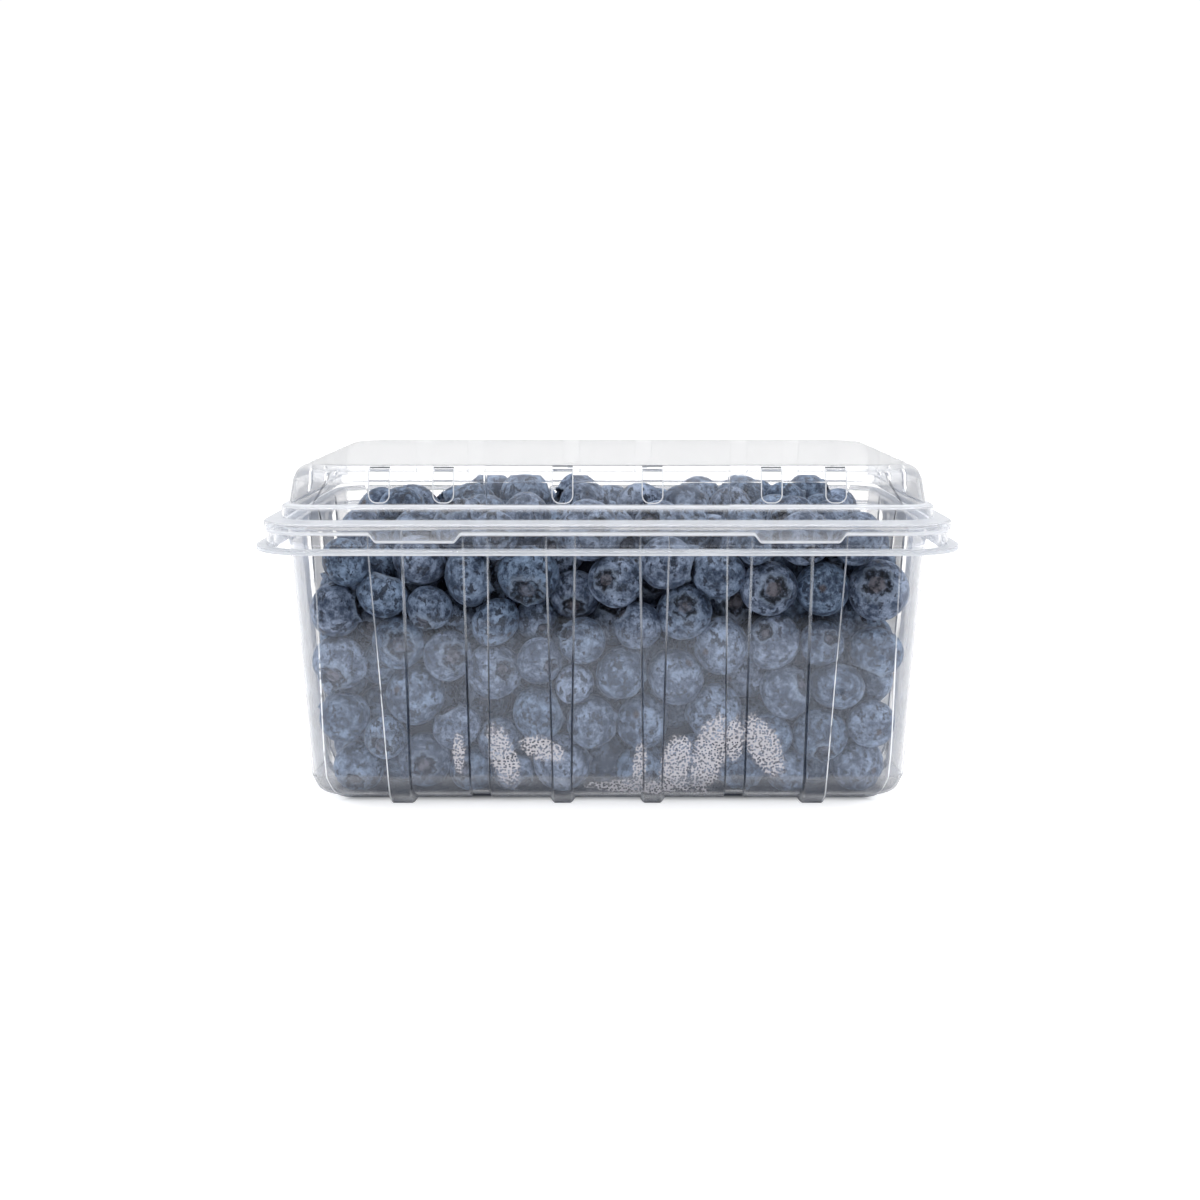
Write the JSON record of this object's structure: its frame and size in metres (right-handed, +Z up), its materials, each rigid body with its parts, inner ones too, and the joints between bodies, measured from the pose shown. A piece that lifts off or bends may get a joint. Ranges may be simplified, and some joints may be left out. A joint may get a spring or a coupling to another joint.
{
  "type": "punnet of blueberries",
  "caption": "Clear ribbed clamshell punnet on small feet, heaped with blueberries and shut under a stepped, vented lid that hinges on its back edge.",
  "frame": {"origin": "on the surface the feet stand on, under the middle of the shut pack, hinge included", "axes": "+X along the pack's length, +Y to the hinge at the back, +Z up; the opening tabs face -Y"},
  "size_m": [0.188, 0.124, 0.094],
  "materials": {
    "clear_pet": "clear thin vacuum-formed plastic, glossy, with bright edges and a little condensation inside",
    "blueberry_skin": "dusty grey-blue waxy bloom over dark blue skin, with brownish crowns and stem scars"
  },
  "bodies": {
    "base": {"tub": "clear_pet", "berries": "blueberry_skin"},
    "lid": {"lid": "clear_pet"}
  },
  "joints": [
    {"name": "lid_hinge", "type": "hinge", "parent": "base", "child": "lid", "pos_m": [0, 0.06125, 0.07233], "axis": [-1, 0, 0], "range_deg": [0, 180]}
  ]
}
